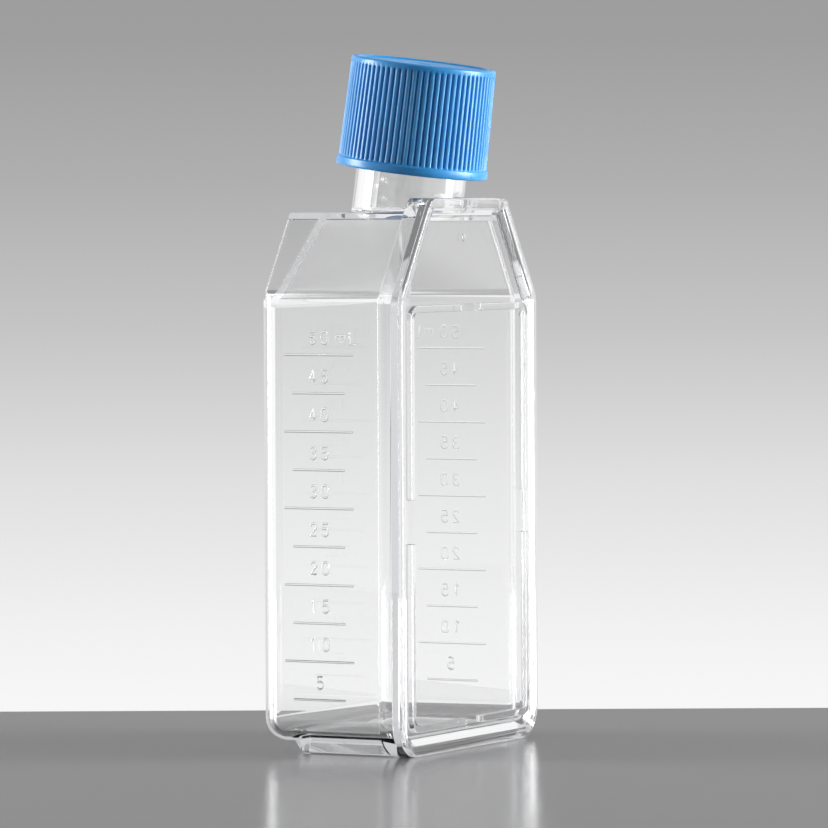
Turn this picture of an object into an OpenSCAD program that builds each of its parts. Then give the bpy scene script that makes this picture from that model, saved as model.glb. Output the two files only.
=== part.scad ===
// Cell culture flask with 25 cm2 of growth area, standing on its closed end.
// A deep tray and a flat cover plate are moulded in clear polystyrene and welded round a six-sided
// flange. The tray carries the neck, which leans towards the plate. A ribbed screw cap closes it
// with a soft plug seal.
// X runs across the flask, Y from the cover plate (-Y) to the growth surface (+Y), Z up to the cap.

/* [Flask] */
// Width of the weld flange
flask_w = 45; // [40:0.5:70]
// Height of the weld flange, from the foot to the neck end
flask_h = 83.3; // [79:0.1:130]
// Depth from the stacking ridge to the growth surface
flask_d = 25.5; // [21:0.1:40]
// Height at which the shoulders start to close in
shoulder_z = 68.2; // [50:0.1:72]
// Width of the weld flange at the neck end
neck_end_w = 25; // [21:0.5:32]
// Corner radius at the closed end
foot_corner_r = 5; // [3:0.5:8]
// Corner radius where the shoulders start
shoulder_r = 2; // [1:0.5:6]
// Corner radius at the neck end
neck_end_r = 1.8; // [1:0.1:3]

/* [Tray] */
// Wall of the tray
wall = 1.3; // [1:0.05:1.6]
// Step from the flange's edge in to the side walls
flange_side = 1.3; // [0.8:0.1:2.5]
// Step from the flange's edge in to the shoulder walls
flange_shoulder = 0.8; // [0.7:0.1:2.5]
// Step from the flange's edge in to the closed end wall
flange_foot = 1.8; // [1.5:0.1:4]
// Step from the flange's edge in to the neck end wall
flange_neck = 2.1; // [1.5:0.1:3]
// Thickness of the flange below the seam
flange_t = 3.45; // [2.3:0.05:4]
// Radius of the long back edges
back_edge_r = 3.5; // [2:0.1:5]
// Radius of the back edge at the closed end
foot_edge_r = 3.5; // [2:0.1:5]
// Outer radius of the bend between a side wall and a shoulder wall
bend_r = 3.8; // [2:0.1:6]
// Inner radius of that bend
bend_in_r = 0.8; // [0.5:0.1:3]
// Height of the back wall's step over the start of the shoulders
step_rise = 0; // [0:0.1:1]
// Depth of that step, in to a ramp that runs up to the neck between two ribs
ramp_step = 2.9; // [1.9:0.1:3]
// Slope of the ramp
ramp_a = 16.5; // [10:0.5:18]
// Radius of the corner between the step and the ramp
ramp_r = 2; // [0.5:0.1:3]
// Depth of the ribs' edges below the growth surface
rib_drop = 1.4; // [0.5:0.1:1.6]
// Radius of the ribs' corner at the neck end
rib_corner_r = 0.5; // [0.3:0.1:2]
// Distance from the flange's edge in to the sides of the foot rim
foot_side_gap = 4.1; // [4:0.1:8]
// Distance from the growth surface to the foot rim
foot_back_gap = 4.3; // [4:0.1:9]
// Outer corner radius of the foot rim
foot_rim_r = 3.5; // [2:0.1:5]
// Wall of the foot rim
foot_wall = 1.3; // [1:0.1:2.5]

/* [Graduations] */
// Volume between two marks in mL
mark_ml = 5; // [2.5:0.5:10]
// Most marks on each side wall, where the straight wall has room for them
mark_count = 10; // [1:1:10]
// Height of the empty level
empty_z = 2.6; // [2:0.1:8]
// Length of the marks at the even volumes
mark_long = 11.7; // [6:0.1:13]
// Length of the marks at the odd volumes
mark_short = 8.8; // [4:0.1:13]
// Distance from the growth surface to a long mark
mark_back_gap = 4.9; // [4.5:0.1:8]
// Width of a mark's raised line
mark_w = 0.35; // [0.2:0.05:0.6]
// Height of a mark's raised line
mark_t = 0.15; // [0.1:0.05:0.4]

/* [Cover plate] */
// Thickness of the plate's panel
panel_t = 1.2; // [1:0.02:1.5]
// Height of the stacking ridge over the panel
ridge_h = 1.1; // [0.8:0.05:1.3]
// Width of the stacking ridge
ridge_w = 1.1; // [0.8:0.1:2]
// Distance from the flange's sides in to the stacking ridge
ridge_side_gap = 3.1; // [3:0.1:8]
// Distance from the flange's foot up to the stacking ridge
ridge_foot_gap = 3.6; // [3:0.1:10]
// Distance from the start of the shoulders down to the stacking ridge
ridge_neck_gap = 0.9; // [0.5:0.1:10]
// Outer corner radius of the stacking ridge
ridge_r = 2.2; // [1.5:0.1:4]
// Gap in the middle of each end bar of the ridge
ridge_gap_x = 6.2; // [2:0.1:12]
// Gap in the middle of each side bar of the ridge
ridge_gap_z = 6.5; // [2:0.1:20]
// Thickness of the plate's lip that lies over the flange
lip_t = 0.7; // [0.5:0.05:0.9]
// Width of the flange under the lip
lip_w = 1.5; // [1.2:0.05:1.7]
// Width of the rim round the plate
rim_w = 2.4; // [2.2:0.05:2.5]
// Gap between the lip and the flange, and round the welded panel
weld_gap = 0.06; // [0.02:0.01:0.1]
// Diameter of the gate mark
gate_d = 1.2; // [0.6:0.1:2]
// Distance from the plate's neck end to the gate mark
gate_drop = 6; // [4:0.5:12]

/* [Neck] */
// Outer diameter of the neck at its base
neck_d = 16.9; // [14:0.1:18]
// Wall of the neck
neck_wall = 1.4; // [1:0.1:2]
// Length of the neck outside the end wall
neck_len = 19.95; // [15:0.05:30]
// Draft of the neck, as the loss of diameter from base to lip
neck_draft = 0.2; // [0:0.05:0.5]
// Lean of the neck towards the cover plate
neck_lean = 7.7; // [0:0.1:10]
// Distance from the ridge's face to the neck's axis at the end wall
neck_y_gap = 10.8; // [10.5:0.1:12]
// Width of the fillet ring round the neck's base
collar_w = 0.8; // [0.4:0.1:1]

/* [Cap and seal] */
// Outer height of the cap
cap_h = 16.65; // [14:0.05:18]
// Wall of the cap under the grooves
cap_wall = 1.3; // [1:0.05:2.5]
// Depth of the grooves between the ribs
rib_depth = 0.3; // [0.2:0.05:0.5]
// Number of ribs
rib_count = 76; // [40:2:90]
// Step from the ribs out to the cap's foot ring
cap_ring_step = 0.4; // [0.1:0.05:1]
// Height of the cap's foot ring
cap_ring_h = 1.4; // [0.8:0.1:2.5]
// Height of the smooth band over the ribs
cap_band_h = 0.9; // [0.6:0.1:2]
// Radius of the cap's top edge
cap_edge_r = 0.45; // [0.2:0.05:0.6]
// Thickness of the cap's top
cap_top_t = 1.5; // [1.2:0.1:2.5]
// Depth of the shallow recess in the cap's top
cap_recess = 0.3; // [0.1:0.05:0.5]
// Width of the rim round that recess
cap_recess_rim = 1.1; // [0.6:0.1:3]
// Radial room for the thread between the neck and the cap
thread_room = 1.1; // [0.8:0.05:1.3]
// Thickness of the seal's disc
seal_t = 1; // [0.8:0.1:1.6]
// Length of the seal's plug inside the neck
plug_len = 4; // [2:0.1:5]
// Wall of the seal's plug
plug_wall = 1.2; // [0.8:0.1:2]
// Running clearance round the seal's disc and plug
seal_clear = 0.1; // [0.05:0.01:0.2]
// Clearance over and under the seal's disc
seal_face_clear = 0.05; // [0.02:0.01:0.1]
// Height of the snap bead that holds the seal in the cap
bead_h = 0.5; // [0.3:0.1:0.8]
// How far the snap bead reaches under the seal's disc
bead_reach = 0.35; // [0.2:0.05:0.5]

/* [Hidden] */
round_fn = 96;
arc_steps = 6;
big = 2 * (flask_w + flask_h + flask_d);
fuse = 0.2;

// Planes across the depth of the flask
ridge_y = -flask_d / 2;
growth_y = flask_d / 2;
seam_y = ridge_y + lip_t;
panel_y = ridge_y + ridge_h;
panel_back_y = panel_y + panel_t;
flange_back_y = seam_y + flange_t;

// Slope of the shoulders, measured from the side walls
shoulder_a = atan((flask_w - neck_end_w) / 2 / (flask_h - shoulder_z));

// Chamber between the walls, and the rise of the level for each mark
chamber_w = flask_w - 2 * (flange_side + wall);
chamber_d = growth_y - wall - panel_back_y;
mark_step = mark_ml * 1000 / (chamber_w * chamber_d);
mark_total = min(mark_count, floor((shoulder_z - mark_step / 2 - empty_z) / mark_step));
mark_x = flask_w / 2 - flange_side;
mark_y1 = growth_y - mark_back_gap;

// Neck axis at the outside of the neck end wall, and the back wall's step
neck_y = ridge_y + neck_y_gap;
neck_z = flask_h - flange_neck;
step_z = shoulder_z + step_rise;
neck_lip_d = neck_d - neck_draft;
neck_bore_r = neck_lip_d / 2 - neck_wall;

// Heights along the neck's axis, from the end wall
seal_z = neck_len + seal_face_clear;
cap_under_z = seal_z + seal_t + seal_face_clear;
cap_top_z = cap_under_z + cap_top_t + cap_recess;
cap_z = cap_top_z - cap_h;
cap_bore_r = neck_d / 2 + thread_room;
root_r = cap_bore_r + cap_wall;
crest_r = root_r + rib_depth;
ring_r = crest_r + cap_ring_step;
seal_r = cap_bore_r - seal_clear;
plug_r = neck_bore_r - seal_clear;

function unit(v) = v / norm(v);

// Arc that rounds the corner at p, between the edges to a and to b
function corner_arc(a, p, b, r) =
    let (
        u = unit(a - p),
        v = unit(b - p),
        half = acos(u * v) / 2,
        c = p + unit(u + v) * r / sin(half),
        s = p + u * r / tan(half) - c,
        e = p + v * r / tan(half) - c,
        start = atan2(s.y, s.x),
        gap = atan2(e.y, e.x) - start,
        turn = gap > 180 ? gap - 360 : gap < -180 ? gap + 360 : gap
    )
    [for (i = [0:arc_steps]) c + r * [cos(start + turn * i / arc_steps), sin(start + turn * i / arc_steps)]];

// Outline with its corners rounded, one radius for each point
function rounded(points, radii) =
    let (n = len(points))
    [for (i = [0:n - 1]) each corner_arc(points[(i + n - 1) % n], points[i], points[(i + 1) % n], radii[i])];

function rect_points(x0, y0, x1, y1) = [[x0, y0], [x1, y0], [x1, y1], [x0, y1]];

// Height of the bend in an outline that is stepped in by side and, at the shoulders, by slope
function bend_at(side, slope) = shoulder_z + (side * cos(shoulder_a) - slope) / sin(shoulder_a);

// Six-sided outline of the flask, stepped in from the flange's edge
function flask_outline(side, slope, foot, neck, r) =
    let (
        x = flask_w / 2 - side,
        bend_z = bend_at(side, slope),
        top_z = flask_h - neck,
        top_x = x - (top_z - bend_z) * tan(shoulder_a),
        foot_r = max(foot_corner_r - side, 0.5),
        top_r = max(neck_end_r - side, 0.5)
    )
    rounded(
        [[-x, foot], [x, foot], [x, bend_z], [top_x, top_z], [-top_x, top_z], [-x, bend_z]],
        [foot_r, foot_r, max(r, 0.5), top_r, top_r, max(r, 0.5)]
    );

// Turns an X-Z outline into a slab between two depths
module slab(y0, y1) {
    translate([0, y1, 0]) rotate([90, 0, 0]) linear_extrude(y1 - y0) children();
}

module flange_slab(y0, y1, step) {
    slab(y0, y1) polygon(flask_outline(step, step, step, step, shoulder_r - step));
}

// Long bar with its outer face at x = 0, its back face at y1 and one rounded edge between them
module rounded_bar(y1, r) {
    y0 = ridge_y - flask_d;
    linear_extrude(big, center = true) {
        translate([-big, y0]) square([big, y1 - y0 - r]);
        translate([-big, y0]) square([big - r, y1 - y0]);
        translate([-r, y1 - r]) circle(r, $fn = round_fn);
    }
}

// Turns a Y-Z outline into a slab across the whole width
module across() {
    rotate([90, 0, 90]) linear_extrude(big, center = true) children();
}

// Depth of the ramp's face, stepped in by inset, at a height over the step
function ramp_y(inset, rise) = growth_y - ramp_step - inset / cos(ramp_a) - rise * tan(ramp_a);

// Side view of the tray's body, whose ribs lie below the growth surface
function body_profile() =
    let (rib_y = growth_y - rib_drop)
    rounded(
        [[seam_y, flange_foot], [growth_y, flange_foot], [growth_y, step_z], [rib_y, step_z],
            [rib_y, neck_z], [seam_y, neck_z]],
        [0.1, foot_edge_r, 0.3, 0.3, rib_corner_r, 0.1]
    );

// Side view of the chamber, whose back wall follows the step and the ramp
function chamber_profile() =
    let (
        y = growth_y - wall,
        foot = flange_foot + wall,
        z0 = step_z - wall,
        z1 = neck_z - wall
    )
    rounded(
        [[seam_y, foot], [y, foot], [y, z0], [ramp_y(wall, -wall), z0],
            [ramp_y(wall, z1 - step_z), z1], [seam_y, z1]],
        [0.1, max(foot_edge_r - wall, 0.4), 0.4, ramp_r + wall, 0.4, 0.1]
    );

// Solid block of the tray, stepped in from its outside by inset, with its back edges rounded
module tray_block(inset, profile, r) {
    side = flange_side + inset;
    back = growth_y - inset;
    outline = flask_outline(side, flange_shoulder + inset, flange_foot + inset, flange_neck + inset, r);
    intersection() {
        slab(seam_y, back) polygon(outline);
        across() polygon(profile);
        for (hand = [0, 1]) mirror([hand, 0, 0]) translate([flask_w / 2 - side, 0, 0])
            rounded_bar(back, max(back_edge_r - inset, 0.4));
    }
}

// Open pocket behind the ramp, between the shoulders' ribs and the end wall
module ramp_pocket() {
    z1 = step_z + big / 2;
    intersection() {
        slab(panel_back_y, growth_y + 1) polygon(flask_outline(
            flange_side + wall, flange_shoulder + wall, flange_foot, flange_neck + wall, bend_in_r
        ));
        across() polygon(rounded(
            [[ramp_y(0, 0), step_z], [big, step_z], [big, z1], [ramp_y(0, big / 2), z1]],
            [ramp_r, 1, 1, 1]
        ));
    }
}

// Rim under the closed end, open towards the cover plate
module foot_rim() {
    x = flask_w / 2 - foot_side_gap;
    y0 = flange_back_y - fuse;
    y1 = growth_y - foot_back_gap;
    inner_r = max(foot_rim_r - foot_wall, 0.5);
    linear_extrude(flange_foot + fuse) difference() {
        polygon(rounded(rect_points(-x, y0, x, y1), [0.3, 0.3, foot_rim_r, foot_rim_r]));
        polygon(rounded(
            rect_points(-x + foot_wall, y0 - 1, x - foot_wall, y1 - foot_wall),
            [0.3, 0.3, inner_r, inner_r]
        ));
    }
}

// Raised lines on both side walls, long at the even volumes
module graduation_lines() {
    for (side = [-1, 1], i = [1:mark_total]) {
        length = i % 2 == 0 ? mark_long : mark_short;
        y1 = i % 2 == 0 ? mark_y1 : mark_y1 - (mark_long - mark_short) / 2;
        z = empty_z + i * mark_step;
        translate([side * mark_x - (side < 0 ? mark_t : fuse), y1 - length, z - mark_w / 2])
            cube([mark_t + fuse, length, mark_w]);
    }
}

// Places its children on the neck's axis, with z = 0 at the end wall
module on_neck() {
    translate([0, neck_y, neck_z]) rotate([neck_lean, 0, 0]) children();
}

module neck_tube() {
    intersection() {
        on_neck() rotate_extrude($fn = round_fn) polygon([
            [0, -3 * wall],
            [neck_d / 2 + collar_w, -3 * wall],
            [neck_d / 2 + collar_w, 0.2],
            [neck_d / 2, 0.2 + collar_w],
            [neck_lip_d / 2, neck_len],
            [0, neck_len],
        ]);
        translate([-big / 2, -big / 2, neck_z - wall]) cube(big);
    }
}

module flask_tray() {
    color([0.86, 0.92, 0.95, 0.4]) difference() {
        union() {
            tray_block(0, body_profile(), bend_r);
            flange_slab(seam_y, flange_back_y, 0);
            foot_rim();
            graduation_lines();
            neck_tube();
        }
        difference() {
            tray_block(wall, chamber_profile(), bend_in_r);
            flange_slab(seam_y - 1, panel_back_y, 0);
        }
        ramp_pocket();
        flange_slab(seam_y - 1, panel_back_y, lip_w - weld_gap);
        on_neck() translate([0, 0, -6 * wall])
            cylinder(h = neck_len + 12 * wall, r = neck_bore_r, $fn = round_fn);
    }
}

// Broken rectangle that the next flask in a stack stands on
module stacking_ridge() {
    x = flask_w / 2 - ridge_side_gap;
    z0 = ridge_foot_gap;
    z1 = shoulder_z - ridge_neck_gap;
    inner_r = max(ridge_r - ridge_w, 0.4);
    slab(ridge_y, panel_y + fuse) difference() {
        polygon(rounded(rect_points(-x, z0, x, z1), [ridge_r, ridge_r, ridge_r, ridge_r]));
        polygon(rounded(
            rect_points(-x + ridge_w, z0 + ridge_w, x - ridge_w, z1 - ridge_w),
            [inner_r, inner_r, inner_r, inner_r]
        ));
        translate([-ridge_gap_x / 2, 0]) square([ridge_gap_x, flask_h]);
        translate([-flask_w, (z0 + z1 - ridge_gap_z) / 2]) square([2 * flask_w, ridge_gap_z]);
    }
}

module cover_plate() {
    color([0.88, 0.93, 0.96, 0.4]) union() {
        flange_slab(panel_y, panel_back_y, lip_w);
        difference() {
            union() {
                flange_slab(ridge_y, seam_y - weld_gap, 0);
                flange_slab(ridge_y, panel_y + fuse, lip_w);
            }
            flange_slab(ridge_y - 1, panel_back_y, rim_w);
        }
        stacking_ridge();
        translate([0, panel_y + fuse, flask_h - gate_drop]) rotate([90, 0, 0])
            cylinder(h = 2 * fuse, d = gate_d, $fn = round_fn);
    }
}

// Soft seal: a disc on the neck's lip with a hollow plug inside the bore
module seal_insert() {
    color([0.95, 0.95, 0.93]) on_neck() rotate_extrude($fn = round_fn) polygon([
        [0, seal_z],
        [plug_r - plug_wall, seal_z],
        [plug_r - plug_wall, seal_z - plug_len],
        [plug_r - plug_wall / 2, seal_z - plug_len],
        [plug_r, seal_z - plug_len + plug_wall / 2],
        [plug_r, seal_z],
        [seal_r, seal_z],
        [seal_r, seal_z + seal_t],
        [0, seal_z + seal_t],
    ]);
}

// Outline of the ribbed grip, with flat crests and flat-bottomed grooves
function rib_outline() =
    let (pitch = 360 / rib_count)
    [for (i = [0:rib_count - 1], k = [[root_r, 0.05], [crest_r, 0.25], [crest_r, 0.55], [root_r, 0.75]])
        k[0] * [cos((i + k[1]) * pitch), sin((i + k[1]) * pitch)]];

module screw_cap() {
    band_r = crest_r - rib_depth / 2;
    bead_z = seal_z - seal_face_clear;
    color([0.16, 0.52, 0.83]) on_neck() difference() {
        union() {
            translate([0, 0, cap_z]) cylinder(h = cap_ring_h, r = ring_r, $fn = round_fn);
            translate([0, 0, cap_z + cap_ring_h - fuse])
                linear_extrude(cap_h - cap_ring_h - cap_band_h + 2 * fuse) polygon(rib_outline());
            rotate_extrude($fn = round_fn) {
                translate([0, cap_top_z - cap_band_h]) square([band_r - cap_edge_r, cap_band_h]);
                translate([0, cap_top_z - cap_band_h]) square([band_r, cap_band_h - cap_edge_r]);
                intersection() {
                    translate([band_r - cap_edge_r, cap_top_z - cap_edge_r])
                        circle(cap_edge_r, $fn = round_fn);
                    translate([0, cap_top_z - cap_band_h]) square([band_r, cap_band_h]);
                }
            }
        }
        rotate_extrude($fn = round_fn) {
            polygon([
                [0, cap_z - 1],
                [cap_bore_r, cap_z - 1],
                [cap_bore_r, bead_z - bead_h],
                [seal_r - bead_reach, bead_z - bead_h / 2],
                [seal_r - bead_reach, bead_z],
                [cap_bore_r, bead_z],
                [cap_bore_r, cap_under_z],
                [0, cap_under_z],
            ]);
            translate([0, cap_top_z - cap_recess]) square([band_r - cap_recess_rim, 1]);
        }
    }
}

flask_tray();
cover_plate();
seal_insert();
screw_cap();
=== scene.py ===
"""Cell culture flask with 25 cm2 of growth area: the looks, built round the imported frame."""
import math
import bmesh
import bpy
from mathutils import Matrix, Vector


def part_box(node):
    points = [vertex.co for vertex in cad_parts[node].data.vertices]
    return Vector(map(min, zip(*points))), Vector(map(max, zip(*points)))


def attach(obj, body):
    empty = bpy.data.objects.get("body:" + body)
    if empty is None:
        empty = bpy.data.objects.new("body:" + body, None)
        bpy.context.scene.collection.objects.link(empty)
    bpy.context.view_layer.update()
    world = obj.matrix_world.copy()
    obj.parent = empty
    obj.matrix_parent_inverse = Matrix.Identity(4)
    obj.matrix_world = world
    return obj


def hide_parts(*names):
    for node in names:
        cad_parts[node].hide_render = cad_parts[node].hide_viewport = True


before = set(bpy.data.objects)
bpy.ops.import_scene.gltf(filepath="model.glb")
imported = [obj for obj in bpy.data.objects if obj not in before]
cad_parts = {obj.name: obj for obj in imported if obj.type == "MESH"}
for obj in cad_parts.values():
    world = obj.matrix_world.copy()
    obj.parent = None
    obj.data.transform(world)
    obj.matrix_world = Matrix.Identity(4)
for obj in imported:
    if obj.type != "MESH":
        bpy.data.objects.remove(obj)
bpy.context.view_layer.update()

# ------------------------------------------------------------------------------------------ Tray
# The deep half of the flask: growth floor, side walls, shoulders, neck, weld flange and foot rim
# in one moulding of clear polystyrene. The mould rounds its back edges, and the graduations are
# cut into the mould's side walls, so they stand proud on both sides of the flask.

mm = 0.001
# An edge or a face that is picked by its place lies this close to it
near = 0.01 * mm
plate_low, plate_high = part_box("cover_plate")
flask_w = plate_high.x - plate_low.x
flask_h = plate_high.z
ridge_face = plate_low.y
growth_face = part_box("flask_tray")[1].y
shoulder_z = 68.2 * mm
neck_end_w = 25 * mm
shoulder_a = math.atan((flask_w - neck_end_w) / 2 / (flask_h - shoulder_z))
# Radii of the outline's corners: at the foot, where the shoulders start and at the neck's end
flange_corners = (5 * mm, 2 * mm, 1.8 * mm)

lip = 0.7 * mm
weld_gap = 0.06 * mm
seam = ridge_face + lip
panel_back = plate_high.y
flange_back = seam + 3.45 * mm
wall = 1.3 * mm
step_side, step_slope, step_foot, step_neck = 1.3 * mm, 0.8 * mm, 1.8 * mm, 2.1 * mm
bend_r, bend_in_r = 3.8 * mm, 0.8 * mm
step_z = shoulder_z
ramp_step = 2.9 * mm
ramp_a = math.radians(16.5)
ramp_out = Vector((0, math.cos(ramp_a), math.sin(ramp_a)))
ramp_foot = Vector((0, growth_face - ramp_step, step_z))


def take(piece):
    """Makes the piece the active object and the only one selected."""
    bpy.ops.object.select_all(action="DESELECT")
    bpy.context.view_layer.objects.active = piece
    piece.select_set(True)


def finish_modifier(piece, modifier):
    take(piece)
    bpy.ops.object.modifier_apply(modifier=modifier.name)


def combine(piece, tool, how):
    """Adds the tool to the piece (UNION), or cuts the piece with it or down to it."""
    join = piece.modifiers.new("combine", "BOOLEAN")
    join.solver = "MANIFOLD"
    join.operation = how
    join.object = tool
    finish_modifier(piece, join)
    bpy.data.objects.remove(tool)


def plain_block(name, x0, x1, y0, y1, z0, z1):
    bpy.ops.object.select_all(action="DESELECT")
    bpy.ops.mesh.primitive_cube_add(
        size=1,
        location=((x0 + x1) / 2, (y0 + y1) / 2, (z0 + z1) / 2),
        scale=(x1 - x0, y1 - y0, z1 - z0),
    )
    block = bpy.context.object
    block.name = name
    bpy.ops.object.transform_apply(location=True, rotation=True, scale=True)
    return block


def cut_off(piece, place, outward):
    """Cuts a block off at a plane and closes it there."""
    take(piece)
    bpy.ops.object.mode_set(mode="EDIT")
    bpy.ops.mesh.select_all(action="SELECT")
    bpy.ops.mesh.bisect(plane_co=place, plane_no=outward, use_fill=True, clear_outer=True)
    bpy.ops.object.mode_set(mode="OBJECT")


def six_sided_block(name, front, back, side, slope, foot, neck):
    """Block with the flask's outline, stepped in from the flange's edge, at the shoulders by slope."""
    half = flask_w / 2 - side
    bend = shoulder_z + (side * math.cos(shoulder_a) - slope) / math.sin(shoulder_a)
    block = plain_block(name, -half, half, front, back, foot, flask_h - neck)
    for hand in (-1, 1):
        shoulder_out = (hand * math.cos(shoulder_a), 0, math.sin(shoulder_a))
        cut_off(block, (hand * half, 0, bend), shoulder_out)
    return block


def round_edges(piece, radius_at, segments=8):
    """Rounds each edge to radius_at(middle, along, concave), or leaves it sharp where that is 0."""
    mesh = bmesh.new()
    mesh.from_mesh(piece.data)
    reach = {}
    for edge in mesh.edges:
        a, b = (v.co for v in edge.verts)
        concave = edge.calc_face_angle_signed(0) < -0.5
        radius = radius_at((a + b) / 2, (b - a).normalized(), concave)
        reach[edge.index] = radius * math.tan(edge.calc_face_angle(0) / 2)
    widest = max(reach.values())
    weight = mesh.edges.layers.float.new("bevel_weight_edge")
    for edge in mesh.edges:
        edge[weight] = reach[edge.index] / widest
    mesh.to_mesh(piece.data)
    mesh.free()
    bevel = piece.modifiers.new("round", "BEVEL")
    bevel.limit_method = "WEIGHT"
    bevel.offset_type = "OFFSET"
    bevel.width = widest
    bevel.segments = segments
    bevel.use_clamp_overlap = False
    bevel.loop_slide = False
    finish_modifier(piece, bevel)
    piece.data.attributes.remove(piece.data.attributes["bevel_weight_edge"])


def smooth_moulding(piece, sharp=35):
    """Smooth shading that leaves the flat walls flat and the corners above the angle sharp."""
    take(piece)
    bpy.ops.object.shade_smooth_by_angle(angle=math.radians(sharp))
    even = piece.modifiers.new("even", "WEIGHTED_NORMAL")
    even.keep_sharp = True
    even.weight = 100
    finish_modifier(piece, even)


def round_outline(piece, foot_r, shoulder_r, end_r):
    """Rounds the corners of a six-sided block's outline."""

    def radius_at(middle, along, concave):
        if abs(along.y) < 0.4:
            return 0
        if middle.z < 10 * mm:
            return foot_r
        return end_r if middle.z > shoulder_z + 5 * mm else shoulder_r

    round_edges(piece, radius_at)


def round_loop(piece, y, radius, segments=4):
    """Rounds the edges that lie in the plane at that depth."""
    round_edges(
        piece,
        lambda middle, along, concave: (
            radius if abs(middle.y - y) < near and abs(along.y) < 0.01 else 0
        ),
        segments,
    )


def tray_block(name, front, inset, edge_r, outline_r, corner_r):
    """The tray's body or the chamber in it, with rounded back edges and ball corners at the foot."""
    side, slope, foot, neck = (
        step + inset for step in (step_side, step_slope, step_foot, step_neck)
    )
    back = growth_face - inset
    x = flask_w / 2 - side
    block = plain_block(name, -x, x, front, back, foot, flask_h + 8 * mm)
    round_edges(
        block,
        lambda middle, along, concave: (
            edge_r
            if (abs(middle.y - back) < near and middle.z < flask_h)
            or (abs(along.y) > 0.9 and middle.z < foot + near)
            else 0
        ),
    )
    # This block cuts only the shoulders and the end wall towards the neck, and stands out elsewhere
    end = six_sided_block(
        "end", front - 5 * mm, back + 5 * mm, side - 0.02 * mm, slope, foot - 9 * mm, neck
    )
    round_outline(end, 0, outline_r, corner_r)
    combine(block, end, "INTERSECT")
    return block


def all_behind(name, front, low):
    """Block over all that lies behind a depth and above a height."""
    far_off = 60 * mm
    return plain_block(name, -far_off, far_off, front, far_off, low, flask_h + 20 * mm)


def behind_ramp(inset, corner_r):
    """All that lies behind the back wall's step and ramp, stepped in from its outside."""
    corner_z = step_z - inset
    block = all_behind("behind_ramp", 0, corner_z)
    cut_off(block, ramp_foot - inset * ramp_out, -ramp_out)
    round_edges(
        block,
        lambda middle, along, concave: (
            corner_r
            if abs(along.x) > 0.99 and abs(middle.z - corner_z) < near and middle.y < 20 * mm
            else 0
        ),
        10,
    )
    return block


tray = six_sided_block("flask_tray_body", seam, flange_back, 0, 0, 0, 0)
round_outline(tray, *flange_corners)
round_loop(tray, flange_back, 0.2 * mm)
round_loop(tray, seam, 0.12 * mm)
body = tray_block("body", seam + 0.3 * mm, 0, 3.5 * mm, bend_r, 0.6 * mm)

# Above the step, the shoulders' ribs and the end wall lie below the growth surface
rib_y, rib_edge_r = growth_face - 1.4 * mm, 0.3 * mm
combine(body, all_behind("behind_ribs", rib_y, step_z), "DIFFERENCE")
round_edges(
    body,
    lambda middle, along, concave: (
        rib_edge_r
        if not concave and abs(middle.y - rib_y) < near and middle.z > step_z + near
        else 0
    ),
    4,
)
combine(tray, body, "UNION")

# A cove runs from the walls out to the flange
cove_r = 0.5 * mm
round_edges(
    tray,
    lambda middle, along, concave: (
        cove_r if concave and abs(middle.y - flange_back) < near else 0
    ),
    6,
)
chamber = tray_block("chamber", panel_back - 1 * mm, wall, 2.2 * mm, bend_in_r, 0.5 * mm)
combine(chamber, behind_ramp(wall, 3.3 * mm), "DIFFERENCE")
combine(tray, chamber, "DIFFERENCE")

# Behind the ramp the tray is open, between the shoulders' thin ribs and the end wall
pocket = six_sided_block(
    "pocket", 0, growth_face + 5 * mm, step_side + wall, step_slope + wall, 20 * mm, step_neck + wall
)
round_outline(pocket, 0, bend_in_r, 0.5 * mm)
combine(pocket, behind_ramp(0, 2 * mm), "INTERSECT")
combine(tray, pocket, "DIFFERENCE")

# The neck is a straight tube that leans towards the plate and flares into the end wall
neck_r, neck_lip_r, neck_bore_r = 8.45 * mm, 8.35 * mm, 6.95 * mm
neck_len = 19.95 * mm
neck_lean = math.radians(7.7)
neck_foot = Vector((0, ridge_face + 10.8 * mm, flask_h - step_neck))
on_neck = Matrix.Translation(neck_foot) @ Matrix.Rotation(neck_lean, 4, "X")
flare = 0.8 * mm
# Facets round the neck, its bore and the seal
ring = 128


def select_faces(piece, wanted):
    """Leaves only the faces selected whose middle and normal pass the test."""
    bpy.ops.mesh.select_mode(type="FACE")
    bpy.ops.mesh.select_all(action="DESELECT")
    mesh = bmesh.from_edit_mesh(piece.data)
    for face in mesh.faces:
        face.select_set(wanted(face.calc_center_median(), face.normal))
    bmesh.update_edit_mesh(piece.data)


def rod(name, radius, z0, z1):
    """Upright rod, for the neck and for the bore through it."""
    bpy.ops.object.select_all(action="DESELECT")
    bpy.ops.mesh.primitive_cylinder_add(
        vertices=ring, radius=radius, depth=z1 - z0, location=(0, 0, (z0 + z1) / 2)
    )
    made = bpy.context.object
    made.name = name
    bpy.ops.object.transform_apply(location=True, rotation=True, scale=True)
    return made


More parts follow.
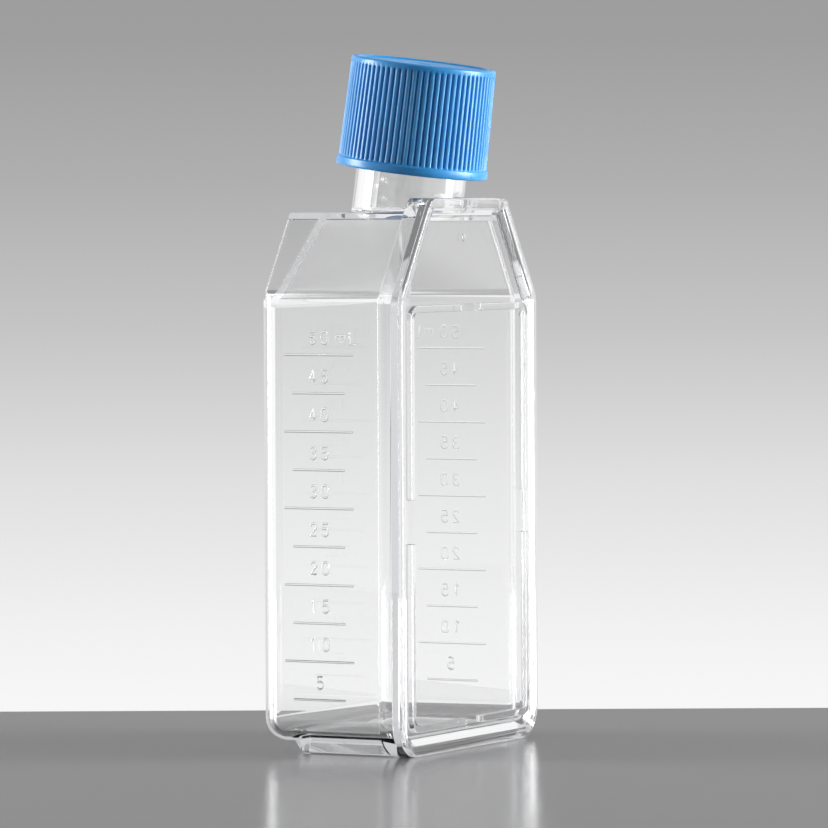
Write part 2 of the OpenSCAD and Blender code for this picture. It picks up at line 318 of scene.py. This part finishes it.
neck = rod("neck", neck_r, -3 * mm, neck_len)
bpy.ops.object.mode_set(mode="EDIT")
select_faces(neck, lambda middle, normal: normal.z > 0.9)
bpy.ops.transform.resize(value=(neck_lip_r / neck_r, neck_lip_r / neck_r, 1))
bpy.ops.mesh.bevel(offset=0.35 * mm, segments=4, profile=0.5)
bpy.ops.object.mode_set(mode="OBJECT")
neck.data.transform(on_neck)
bpy.ops.object.mode_set(mode="EDIT")
bpy.ops.mesh.select_all(action="SELECT")
bpy.ops.mesh.bisect(
    plane_co=(0, 0, neck_foot.z + flare), plane_no=(0, 0, 1), use_fill=True, clear_inner=True
)
flare_steps = 6
for i in range(1, flare_steps + 1):
    last, turn = math.pi / 2 * (i - 1) / flare_steps, math.pi / 2 * i / flare_steps
    out_from = neck_r + flare * (1 - math.cos(last))
    out_to = neck_r + flare * (1 - math.cos(turn))
    bpy.ops.mesh.extrude_region_move(
        TRANSFORM_OT_translate={"value": (0, 0, flare * (math.sin(last) - math.sin(turn)))}
    )
    bpy.ops.transform.resize(value=(out_to / out_from, out_to / out_from, 1))
bpy.ops.mesh.extrude_region_move(TRANSFORM_OT_translate={"value": (0, 0, -0.6 * mm)})
bpy.ops.object.mode_set(mode="OBJECT")
combine(tray, neck, "UNION")

bore = rod("bore", neck_bore_r, -6 * mm, 28 * mm)
bore.data.transform(on_neck)
combine(tray, bore, "DIFFERENCE")

# The plate's panel lies in a rebate inside the flange
rebate_step = 1.44 * mm
rebate = six_sided_block("rebate", seam - 1 * mm, panel_back, *[rebate_step] * 4)
round_outline(rebate, 3.6 * mm, 0.6 * mm, 0.5 * mm)
combine(tray, rebate, "DIFFERENCE")


def round_cord(name, strokes, radius, fade=0, closed=()):
    """Round bars along lists of points, as closed meshes; fade is the taper's share at each end."""
    line = bpy.data.curves.new(name, "CURVE")
    line.dimensions = "3D"
    line.bevel_depth = radius
    line.bevel_resolution = 2
    line.use_fill_caps = True
    for number, points in enumerate(strokes):
        spline = line.splines.new("POLY")
        spline.points.add(len(points) - 1)
        spline.use_cyclic_u = number in closed
        for i, point in enumerate(points):
            ends = min(i, len(points) - 1 - i) / (len(points) - 1)
            spline.points[i].co = (*point, 1)
            spline.points[i].radius = min(1, 0.05 + ends / fade) if fade else 1
    bar = bpy.data.objects.new(name, line)
    bpy.context.scene.collection.objects.link(bar)
    take(bar)
    bpy.ops.object.convert(target="MESH")
    bar = bpy.context.object
    bpy.ops.object.mode_set(mode="EDIT")
    bpy.ops.mesh.select_all(action="SELECT")
    bpy.ops.mesh.remove_doubles(threshold=0.0005 * mm)
    bpy.ops.mesh.normals_make_consistent(inside=False)
    bpy.ops.object.mode_set(mode="OBJECT")
    return bar


# Round thread on the neck, hidden by the cap until it is unscrewed
thread_pitch, thread_r = 3 * mm, 0.75 * mm


def thread_points(radius, z0, turns, steps=72):
    return [
        (
            radius * math.cos(math.tau * i / steps),
            radius * math.sin(math.tau * i / steps),
            z0 + thread_pitch * i / steps,
        )
        for i in range(int(turns * steps) + 1)
    ]


thread = round_cord("thread", [thread_points(neck_r - 0.1 * mm, 11 * mm, 2)], thread_r, fade=0.1)
thread.data.transform(on_neck)
combine(tray, thread, "UNION")

# Foot rim under the closed end, drafted, open towards the plate
foot_side, foot_back = flask_w / 2 - 3.6 * mm, growth_face - 3.6 * mm
foot_wall, foot_back_wall = 1.7 * mm, 1.9 * mm
foot_r, foot_in_r = 3.5 * mm, 2.2 * mm
foot_draft = 0.7 * mm
foot_rim = plain_block(
    "foot_rim", -foot_side, foot_side, flange_back - 1 * mm, foot_back, 0, step_foot + 0.2 * mm
)
round_edges(
    foot_rim,
    lambda middle, along, concave: foot_r if abs(along.z) > 0.9 and middle.y > 0 else 0,
    6,
)
bpy.ops.object.mode_set(mode="EDIT")
select_faces(foot_rim, lambda middle, normal: normal.z < -0.9)
across = (foot_side - foot_draft) / foot_side
deep = 1 / (1 + 0.9 * mm / (foot_back - flange_back))
bpy.ops.transform.resize(value=(across, deep, 1))
bpy.ops.transform.translate(value=(0, -0.5 * mm, 0))
bpy.ops.mesh.bevel(offset=0.35 * mm, segments=4, profile=0.5)
bpy.ops.object.mode_set(mode="OBJECT")
hollow = plain_block(
    "hollow",
    foot_wall - foot_side,
    foot_side - foot_wall,
    flange_back + 0.6 * mm,
    foot_back - foot_back_wall,
    -0.5 * mm,
    step_foot,
)
round_edges(hollow, lambda middle, along, concave: foot_in_r if abs(along.z) > 0.9 else 0, 6)
combine(foot_rim, hollow, "DIFFERENCE")
combine(tray, foot_rim, "UNION")

# Graduations for every 5 mL on both side walls: raised lines, and raised numerals and unit
level_rise = 5e-6 / ((flask_w - 2 * (step_side + wall)) * (growth_face - wall - panel_back))
empty_z = 2.6 * mm
mark_middle, long_half, short_half = 2 * mm, 5.85 * mm, 4.4 * mm
line_w, line_t, line_sink = 0.35 * mm, 0.11 * mm, 0.02 * mm
number_middles = {-1: 1.95 * mm, 1: 2.25 * mm}
glyph_w, glyph_h, glyph_rise = 1 * mm, 1.85 * mm, 1.63 * mm
# The marks' cells end below and above each line, under the numerals and between them
cell_rises = (-0.9 * mm, 0.9 * mm, 1.3 * mm)
cell_sides = (-2 * mm, 0, 2 * mm, 4.85 * mm)


def bow(cx, cy, rx, ry, start, end, steps=10):
    """Part of an oval as points, in shares of a numeral's width and height."""
    return [
        (
            cx + rx * math.cos(math.radians(start + (end - start) * i / steps)),
            cy + ry * math.sin(math.radians(start + (end - start) * i / steps)),
        )
        for i in range(steps + 1)
    ]


# Each numeral is one stroke or two; the last value says whether the first stroke is a loop
numerals = {
    "0": ([bow(0.5, 0.72, 0.5, 0.28, 0, 180) + bow(0.5, 0.28, 0.5, 0.28, 180, 360)], True),
    "1": ([[(0.2, 0.8), (0.55, 1), (0.55, 0)]], False),
    "2": ([bow(0.5, 0.73, 0.5, 0.27, 175, -25) + [(0.04, 0), (1, 0)]], False),
    "3": (
        [bow(0.48, 0.76, 0.44, 0.24, 150, -95), bow(0.46, 0.27, 0.52, 0.27, 95, -150)],
        False,
    ),
    "4": ([[(0.72, 0), (0.72, 1)], [(0.66, 0.97), (0, 0.3), (1, 0.3)]], False),
    "5": ([[(0.92, 1), (0.14, 1), (0.08, 0.56)] + bow(0.48, 0.31, 0.5, 0.31, 120, -150)], False),
    "m": (
        [
            [(0, 0)] + bow(0.365, 0.5, 0.365, 0.2, 180, 0) + [(0.73, 0)],
            bow(1.095, 0.5, 0.365, 0.2, 170, 0) + [(1.46, 0)],
        ],
        False,
    ),
    "L": ([[(0, 1), (0, 0), (1.1, 0)]], False),
}


def cut_cells(hand, face_x, number_middle):
    """Cuts a side wall's outer face into cells, so that each mark is joined to a small face."""

    def on_wall(middle, normal):
        return normal.x * hand > 0.999 and abs(middle.x - face_x) < near

    def inside_border(middle, normal):
        return (
            on_wall(middle, normal)
            and -6.5 * mm < middle.y < 8 * mm
            and 6 * mm < middle.z < shoulder_z - 1.5 * mm
        )

    # The border stays whole, so that the cells don't disturb the shading of the rounded edges
    take(tray)
    bpy.ops.object.mode_set(mode="EDIT")
    select_faces(tray, on_wall)
    bpy.ops.mesh.inset(thickness=0.6 * mm)
    cuts = [
        ((0, 0, empty_z + i * level_rise + rise), (0, 0, 1))
        for i in range(1, 11)
        for rise in cell_rises
    ]
    cuts += [((0, number_middle + hand * side, 0), (0, 1, 0)) for side in cell_sides]
    for place, normal in cuts:
        select_faces(tray, inside_border)
        bpy.ops.mesh.bisect(plane_co=place, plane_no=normal)
    bpy.ops.object.mode_set(mode="OBJECT")


for hand in (-1, 1):
    face_x = hand * (flask_w / 2 - step_side)
    number_middle = number_middles[hand]
    cut_cells(hand, face_x, number_middle)
    # A numeral's second stroke meets or crosses its first, so it is joined after all the first ones
    first, second, loops = [], [], []
    for i in range(1, 11):
        z = empty_z + i * level_rise
        half = long_half if i % 2 == 0 else short_half
        first.append([(face_x, mark_middle - half, z), (face_x, mark_middle + half, z)])
        places = list(zip(str(5 * i), (-1, 1) if i > 1 else (0,)))
        if i == 10:
            places += [("m", 3.5), ("L", 5.8)]
        for character, offset in places:
            strokes, loop = numerals[character]
            placed = [
                [
                    (
                        face_x,
                        number_middle + hand * (offset * mm + (along - 0.5) * glyph_w),
                        z + glyph_rise + up * glyph_h,
                    )
                    for along, up in stroke
                ]
                for stroke in strokes
            ]
            if loop:
                loops.append(len(first))
            first += placed[:1]
            second += placed[1:]
    for strokes, closed in ((first, loops), (second, [])):
        raised = round_cord("raised", strokes, line_w / 2, closed=closed)
        sunk = Matrix.Translation((face_x - hand * line_sink, 0, 0))
        flat = Matrix.Diagonal((2 * (line_t + line_sink) / line_w, 1, 1, 1))
        raised.data.transform(sunk @ flat @ Matrix.Translation((-face_x, 0, 0)))
        combine(tray, raised, "UNION")
smooth_moulding(tray)


def set_inputs(tree, node, inputs):
    """Sets each input of a node to its value, or links it to its socket."""
    for name, value in inputs.items():
        if isinstance(value, bpy.types.NodeSocket):
            tree.links.new(value, node.inputs[name])
        else:
            node.inputs[name].default_value = value


def add_node(tree, kind, inputs=None, output=0, **settings):
    """Adds a node with those settings and inputs, and returns one of its output sockets."""
    node = tree.nodes.new("ShaderNode" + kind)
    for name, value in settings.items():
        setattr(node, name, value)
    set_inputs(tree, node, inputs or {})
    return node.outputs[output]


def start_material(name):
    """Makes a material; returns it with its node tree, its surface and its coordinates."""
    material = bpy.data.materials.new(name)
    material.use_nodes = True
    tree = material.node_tree
    place = add_node(tree, "TexCoord", output="Object")
    return material, tree, tree.nodes["Principled BSDF"], place


def coat(piece, material):
    """Gives the piece that material alone."""
    piece.data.materials.clear()
    piece.data.materials.append(material)


def share(tree, source, low, high):
    """0 below the low value, 1 above the high one."""
    return add_node(tree, "MapRange", {"Value": source, "From Min": low, "From Max": high})


def spread(tree, source, low, high):
    """The low value where the source is 0, rising or falling to the high one where it is 1."""
    return add_node(tree, "MapRange", {"Value": source, "To Min": low, "To Max": high})


def product(tree, first, second):
    return add_node(tree, "Math", {0: first, 1: second}, operation="MULTIPLY")


def relief(tree, skin, pattern, strength):
    """Lets a pattern stand up to 0.02 mm out of the surface, at that strength."""
    bump = {"Height": pattern, "Strength": strength, "Distance": 0.02 * mm}
    set_inputs(tree, skin, {"Normal": add_node(tree, "Bump", bump)})


clear, tree, skin, place = start_material("clear polystyrene")
spot = add_node(tree, "SeparateXYZ", {0: place}).node.outputs
depth, height = spot["Y"], spot["Z"]

# The melt's flow leaves faint long waves in the walls and a slightly uneven polish
long_way = add_node(tree, "Mapping", {"Vector": place, "Scale": (1, 1, 0.3)})
flow = add_node(tree, "TexNoise", {"Vector": long_way, "Scale": 90, "Detail": 2})
relief(tree, skin, flow, 0.5)
polish = spread(tree, flow, 0, 0.012)

# The shoulders' walls in front of the ramp are faintly frosted
soft_edge = 0.3 * mm
end_z = flask_h - step_neck - wall
ramp_place = ramp_foot.dot(ramp_out)
towards_ramp = add_node(
    tree, "VectorMath", {0: place, 1: ramp_out}, "Value", operation="DOT_PRODUCT"
)
in_front = share(tree, towards_ramp, ramp_place + 0.02 * mm, ramp_place)
off_flange = share(tree, depth, flange_back, flange_back + soft_edge)
in_shoulders = share(tree, height, shoulder_z, shoulder_z + 0.5 * mm)
under_end = share(tree, height, end_z, end_z - soft_edge)
frosted = product(tree, product(tree, in_front, off_flange), product(tree, in_shoulders, under_end))
frost = spread(tree, frosted, 0, 0.22)
rough = add_node(tree, "Math", {0: polish, 1: frost}, operation="ADD")

# A path of light that has used up its bounces inside the plastic ends in painted light: an emission
# that stands in for a share of the room's light, painted weaker in the shoulders' flanges as
# painted shade
path = add_node(tree, "LightPath").node.outputs
ended = [
    add_node(tree, "Math", {0: path[bounces], 1: most}, operation="GREATER_THAN")
    for bounces, most in (("Ray Depth", 12.5), ("Glossy Depth", 4.5))
]
in_flange = share(tree, depth, flange_back + soft_edge, flange_back)
painted_glow = spread(tree, product(tree, in_shoulders, in_flange), 0.7, 0.25)
used_up = add_node(tree, "Math", dict(enumerate(ended)), operation="MAXIMUM")
set_inputs(
    tree,
    skin,
    {
        "Base Color": (0.995, 0.997, 1, 1),
        "IOR": 1.59,
        "Transmission Weight": 1,
        "Roughness": rough,
        # Painted light: the plastic glows in this colour where a path has used up its bounces
        "Emission Color": (0.9, 0.91, 0.93, 1),
        "Emission Strength": product(tree, used_up, painted_glow),
    },
)
coat(tray, clear)

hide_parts("flask_tray")
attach(tray, "flask")

# ---------------------------------------------------------------------------------- Cover plate
# The flat half of the flask, moulded in the same clear polystyrene. Its lip lies over the tray's
# flange and its panel is welded into the flange's rebate. The rim and the broken ridge stand as
# high as each other, for the next flask in a stack.

panel_face = ridge_face + 1.1 * mm
rim_w, rim_slope = 1.15 * mm, 1.65 * mm
panel_step = 1.5 * mm
plate = six_sided_block("cover_plate_body", ridge_face, seam - weld_gap, 0, 0, 0, 0)
round_outline(plate, *flange_corners)
round_loop(plate, ridge_face, 0.3 * mm)
round_loop(plate, seam - weld_gap, 0.1 * mm)
panel = six_sided_block("panel", ridge_face + 0.3 * mm, panel_back - 0.03 * mm, *[panel_step] * 4)
round_outline(panel, 3.5 * mm, 0.6 * mm, 0.5 * mm)
combine(plate, panel, "UNION")

# The panel lies deep inside the rim, which slopes down to it: the recess has the panel's outline,
# and the corners of its open side are moved out to those of a wider block
overcut = 1 * mm
inner_step = rim_w + rim_slope
outer_step = rim_w - rim_slope * overcut / (panel_face - ridge_face)
recess = six_sided_block("recess", ridge_face - overcut, panel_face, *[inner_step] * 4)
wide = six_sided_block("wide", ridge_face - overcut, panel_face, *[outer_step] * 4)
for vertex in recess.data.vertices:
    if vertex.co.y < ridge_face:
        corners = (v.co for v in wide.data.vertices if v.co.y < ridge_face)
        vertex.co = min(corners, key=lambda corner: (corner - vertex.co).length)
bpy.data.objects.remove(wide)
round_outline(recess, 3 * mm, 1 * mm, 1 * mm)
round_loop(recess, panel_face, 0.8 * mm, 6)
combine(plate, recess, "DIFFERENCE")

# The ridge runs inside the rim, with gaps at the top, at the foot and half way up both sides
ridge_x, ridge_low, ridge_high = flask_w / 2 - 3.1 * mm, 3.6 * mm, shoulder_z - 0.9 * mm
ridge_w, ridge_r = 1.1 * mm, 2.2 * mm
gaps = ((-2.9, 3.2, 30, 80), (-1.7, 3.5, 0, 30), (-30, 30, 31.9, 38.4))
ridge = plain_block(
    "ridge", -ridge_x, ridge_x, ridge_face, panel_face + 0.1 * mm, ridge_low, ridge_high
)
round_edges(ridge, lambda middle, along, concave: ridge_r if abs(along.y) > 0.9 else 0)
through = (ridge_face - overcut, panel_face + overcut)
inside = plain_block(
    "inside",
    ridge_w - ridge_x,
    ridge_x - ridge_w,
    *through,
    ridge_low + ridge_w,
    ridge_high - ridge_w,
)
round_edges(inside, lambda middle, along, concave: ridge_r - ridge_w if abs(along.y) > 0.9 else 0)
combine(ridge, inside, "DIFFERENCE")
for x0, x1, z0, z1 in gaps:
    gap = plain_block("gap", x0 * mm, x1 * mm, *through, z0 * mm, z1 * mm)
    combine(ridge, gap, "DIFFERENCE")
bevel = ridge.modifiers.new("round", "BEVEL")
bevel.limit_method = "ANGLE"
bevel.angle_limit = math.radians(60)
bevel.width = 0.3 * mm
bevel.segments = 4
finish_modifier(ridge, bevel)
combine(plate, ridge, "UNION")

# The gate's mark, a low round bead where the melt came in
gate_r, gate_flatness = 0.6 * mm, 0.18
bpy.ops.object.select_all(action="DESELECT")
bpy.ops.mesh.primitive_uv_sphere_add(
    segments=48,
    ring_count=24,
    radius=gate_r,
    location=(0, panel_face, flask_h - 6 * mm),
    scale=(1, gate_flatness, 1),
)
gate = bpy.context.object
bpy.ops.object.transform_apply(location=True, rotation=True, scale=True)
combine(plate, gate, "UNION")
smooth_moulding(plate)
coat(plate, clear)

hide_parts("cover_plate")
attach(plate, "flask")

# ----------------------------------------------------------------------------------------- Seal
# A soft disc that the cap presses onto the neck's lip, with a hollow plug that reaches into the
# bore. It is moulded in natural polyethylene and held in the cap by a snap bead.


def lathe(name, profile, facets, z0=0.0):
    """Solid turned round the Z axis from (radius, height) points in mm, closed flat at both ends."""
    bpy.ops.object.select_all(action="DESELECT")
    first_r, first_z = profile[0]
    bpy.ops.mesh.primitive_circle_add(
        vertices=facets, radius=first_r * mm, fill_type="NGON", location=(0, 0, z0 + first_z * mm)
    )
    piece = bpy.context.object
    piece.name = name
    bpy.ops.object.transform_apply(location=True, rotation=True, scale=True)
    bpy.ops.object.mode_set(mode="EDIT")
    bpy.ops.mesh.select_all(action="SELECT")
    for (r0, h0), (r1, h1) in zip(profile, profile[1:]):
        bpy.ops.mesh.extrude_region_move(TRANSFORM_OT_translate={"value": (0, 0, (h1 - h0) * mm)})
        bpy.ops.transform.resize(value=(r1 / r0, r1 / r0, 1), center_override=(0, 0, 0))
    bpy.ops.mesh.select_all(action="SELECT")
    bpy.ops.mesh.normals_make_consistent(inside=False)
    bpy.ops.object.mode_set(mode="OBJECT")
    return piece


# From the hollow's roof down inside the plug, up outside it and round the disc to the dimple in
# its top
seal_profile = [
    (5.45, 0), (5.65, -0.2), (5.65, -3.85), (5.8, -4), (6.25, -4), (6.45, -3.9), (6.85, -3.3),
    (6.85, -0.1), (6.93, 0), (9.25, 0), (9.45, 0.2), (9.45, 0.8), (9.25, 1), (1.2, 1),
    (1.05, 0.9), (0.5, 0.9),
]
seal_gap = 0.05 * mm
seal = lathe("seal_insert_body", seal_profile, ring, neck_len + seal_gap)
seal.data.transform(on_neck)
smooth_moulding(seal)


def drift(tree, pattern, tones):
    """Colour that drifts with the pattern between two tones, each at its place in the pattern."""
    tone = add_node(tree, "ValToRGB", {"Fac": pattern})
    for stop, (position, colour) in zip(tone.node.color_ramp.elements, tones.items()):
        stop.position = position
        stop.color = (*colour, 1)
    return tone


soft, tree, skin, place = start_material("natural polyethylene")
cloud = add_node(tree, "TexNoise", {"Vector": place, "Scale": 250, "Detail": 3})
grain = add_node(tree, "TexNoise", {"Vector": place, "Scale": 6000})
relief(tree, skin, grain, 0.2)
set_inputs(
    tree,
    skin,
    {
        "Base Color": drift(tree, cloud, {0: (0.80, 0.80, 0.76), 1: (0.88, 0.88, 0.85)}),
        "Roughness": 0.42,
        "IOR": 1.51,
        "Subsurface Weight": 0.25,
        "Subsurface Radius": (1.2, 1.1, 0.9),
        "Subsurface Scale": 1 * mm,
    },
)
coat(seal, soft)

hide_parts("seal_insert")
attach(seal, "seal")

# ------------------------------------------------------------------------------------ Screw cap
# One moulding in mid-blue polyethylene: a grip of fine upright ribs between a smooth foot ring
# and a smooth top band, a shallow recess in the top, and inside a round thread and the snap bead
# that holds the seal. It screws onto the neck's thread.

rib_count = 76
# How much of the grooves' depth is cut at the points from one groove's middle to the next
rib_form = (1, 0.55, 0.1, 0, 0, 0, 0.1, 0.55)
groove_depth = 0.32 * mm
grooves_low, grooves_high, run_out = 7.62 * mm, 21.95 * mm, 0.3 * mm
# Down the bore past the snap bead, round the foot ring, up the grip, which narrows a little, and
# over the top to its recess; the points lie close together where the grooves run out
cap_profile = [
    (9.55, 21.05), (9.55, 19.95), (9.1, 19.9), (9.1, 19.7), (9.55, 19.4), (9.55, 6.6), (9.85, 6.2),
    (11.3, 6.2), (11.48, 6.28), (11.55, 6.45), (11.55, 7.35), (11.5, 7.5), (11.38, 7.58),
    (11.3, 7.62), (11.3, 7.72), (11.3, 7.82), (11.3, 7.92), (11.23, 10.8), (11.17, 13.6),
    (11.11, 16.4), (11.06, 19.1), (11.01, 21.65), (11.01, 21.75), (11.01, 21.85), (11.01, 21.95),
    (11.01, 22.4), (10.97, 22.6), (10.85, 22.76), (10.62, 22.84), (10.1, 22.84), (9.98, 22.8),
    (9.9, 22.65), (9.78, 22.57), (9.6, 22.55), (1.1, 22.55), (0.95, 22.47), (0.6, 22.45),
]
grip_facets = rib_count * len(rib_form)
cap = lathe("screw_cap_body", cap_profile, grip_facets)
for vertex in cap.data.vertices:
    x, y, z = vertex.co
    radius = math.hypot(x, y)
    if radius > 10.9 * mm and grooves_low < z < grooves_high:
        point = round(math.atan2(y, x) / math.tau * grip_facets)
        ends = min(z - grooves_low, grooves_high - z) / run_out
        cut = groove_depth * rib_form[point % len(rib_form)] * min(1, ends) ** 0.5
        vertex.co.xy *= (radius - cut) / radius
inner_thread = round_cord(
    "inner_thread", [thread_points(9.65 * mm, 9.5 * mm, 1.5)], 0.7 * mm, fade=0.1
)
combine(cap, inner_thread, "UNION")
cap.data.transform(on_neck)
smooth_moulding(cap, 50)

blue, tree, skin, place = start_material("blue polyethylene")
cloud = add_node(tree, "TexNoise", {"Vector": place, "Scale": 180, "Detail": 4})
grain = add_node(tree, "TexNoise", {"Vector": place, "Scale": 5000})
relief(tree, skin, grain, 0.15)
set_inputs(
    tree,
    skin,
    {
        "Base Color": drift(tree, cloud, {0.3: (0.022, 0.26, 0.62), 0.7: (0.028, 0.31, 0.70)}),
        "Roughness": spread(tree, cloud, 0.24, 0.36),
        "IOR": 1.5,
        "Specular IOR Level": 0.6,
        "Subsurface Weight": 0.25,
        "Subsurface Radius": (0.4, 1, 1.6),
        "Subsurface Scale": 1 * mm,
    },
)
coat(cap, blue)

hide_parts("screw_cap")
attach(cap, "cap")

# ---------------------------------------------------------------------------------------- Studio
# A grey satin table top ends a little way behind the flask, in a white room whose backdrop grows
# darker upwards. The room is dimmer behind the camera and dark overhead. Upright soft lamps stand
# on both sides, with a wide one on the right towards the camera and one overhead.

view_azimuth, view_elevation, view_roll = (math.radians(a) for a in (-62.418, 2.096, -0.264))
view_distance, aim_right, aim_up = 920.56 * mm, 2.667 * mm, 0.437 * mm
back = Vector(
    (
        math.sin(view_azimuth) * math.cos(view_elevation),
        -math.cos(view_azimuth) * math.cos(view_elevation),
        math.sin(view_elevation),
    )
)
right = Vector((math.cos(view_azimuth), math.sin(view_azimuth), 0))
far = Vector((-back.x, -back.y, 0)).normalized()

table_w, table_d, table_t, behind = 700 * mm, 300 * mm, 20 * mm, 63.5 * mm
table = plain_block("table_top", -table_w / 2, table_w / 2, behind - table_d, behind, -table_t, 0)
bpy.ops.object.mode_set(mode="EDIT")
bpy.ops.mesh.select_all(action="SELECT")
bpy.ops.mesh.bevel(offset=1.5 * mm, segments=4)
bpy.ops.object.mode_set(mode="OBJECT")
table.data.transform(Matrix((right, far, (0, 0, 1))).transposed().to_4x4())

paint, tree, skin, place = start_material("grey satin paint")
cloud = add_node(tree, "TexNoise", {"Vector": place, "Scale": 25, "Detail": 4})
finish = {"Base Color": (0.2, 0.198, 0.204, 1), "Roughness": spread(tree, cloud, 0.14, 0.2)}
set_inputs(tree, skin, finish)
coat(table, paint)

room = bpy.data.worlds.new("white room")
bpy.context.scene.world = room
room.use_nodes = True
tree = room.node_tree
tree.nodes.clear()
way = add_node(tree, "TexCoord", output="Generated")
upward = add_node(tree, "SeparateXYZ", {0: way}, "Z")
ahead = add_node(tree, "VectorMath", {0: way, 1: far}, "Value", operation="DOT_PRODUCT")


def softly(source, low, high):
    """Like share, with soft ends."""
    step = share(tree, source, low, high)
    step.node.interpolation_type = "SMOOTHSTEP"
    return step


def blended(amount, first, second, how="MIX"):
    """Mixes two colours; each is a socket or a grey level."""
    first, second = (
        (value, value, value, 1) if isinstance(value, float) else value
        for value in (first, second)
    )
    inputs = {"Factor": amount, "A": first, "B": second}
    return add_node(tree, "Mix", inputs, "Result", data_type="RGBA", blend_type=how)


# Grey levels of the backdrop by the rise of the line of sight
lowest, highest = -0.1, 0.1
levels = {
    -0.084: 0.93,
    -0.072: 0.885,
    -0.0475: 0.745,
    -0.0226: 0.56,
    0.002: 0.43,
    0.026: 0.345,
    0.06: 0.32,
}
backdrop = add_node(tree, "ValToRGB", {"Fac": share(tree, upward, lowest, highest)})
stops = backdrop.node.color_ramp.elements
for stop, (rise, level) in enumerate(levels.items()):
    position = (rise - lowest) / (highest - lowest)
    mark = stops[stop] if stop == 0 else stops.new(position)
    mark.position = position
    mark.color = (level, level, level, 1)
stops.remove(stops[len(stops) - 1])

sides = blended(softly(ahead, 0.985, 0.93), backdrop, 0.97)
dim = blended(1, backdrop, 0.65, "MULTIPLY")
front = blended(softly(ahead, -0.8, -0.92), sides, dim)
ceiling = blended(softly(upward, 0.35, 0.65), front, 0.085)
seen = add_node(tree, "Background", {"Color": ceiling})
fill = add_node(tree, "Background", {"Color": (1, 1, 1, 1), "Strength": 0.06})
diffuse = add_node(tree, "LightPath", output="Is Diffuse Ray")
either = add_node(tree, "MixShader", {0: diffuse, 1: seen, 2: fill})
set_inputs(tree, tree.nodes.new("ShaderNodeOutputWorld"), {"Surface": either})

centre = Vector((0, 0, 50 * mm))
upwards = Vector((0, 0, 1))


def soft_lamp(name, place, aim, width, height, level):
    """Rectangular lamp of an even brightness that lights the flask and is not seen itself."""
    light = bpy.data.lights.new(name, "AREA")
    light.shape = "RECTANGLE"
    light.size = width
    light.size_y = height
    light.energy = level * math.pi * width * height
    lamp = bpy.data.objects.new(name, light)
    bpy.context.scene.collection.objects.link(lamp)
    lamp.location = place
    lamp.rotation_euler = (aim - place).to_track_quat("-Z", "Y").to_euler()
    lamp.visible_camera = False
    lamp.visible_transmission = False


high = centre + upwards * 0.3
soft_lamp("left lamp", high - right + far * 0.1, high, 0.42, 0.9, 13)
soft_lamp("right lamp", high + right, high, 0.42, 0.9, 13)
soft_lamp("wide lamp", high + right * 1.1 - far * 0.275, high, 0.6, 0.9, 5)
soft_lamp("top lamp", centre + upwards * 1.1 - right * 0.2, centre, 1.5, 1.2, 0.4)

up = right.cross(-back).normalized()
target = centre + right * aim_right + up * aim_up
lens = bpy.data.cameras.new("camera")
lens.lens = 262.9
lens.sensor_width = 36
lens.clip_start = 10 * mm
camera = bpy.data.objects.new("camera", lens)
bpy.context.scene.collection.objects.link(camera)
stand = Matrix.Translation(target + back * view_distance)
turn = Matrix((right, up, back)).transposed().to_4x4() @ Matrix.Rotation(view_roll, 4, "Z")
camera.matrix_world = stand @ turn
bpy.context.scene.camera = camera
bpy.context.scene.view_settings.view_transform = "Standard"
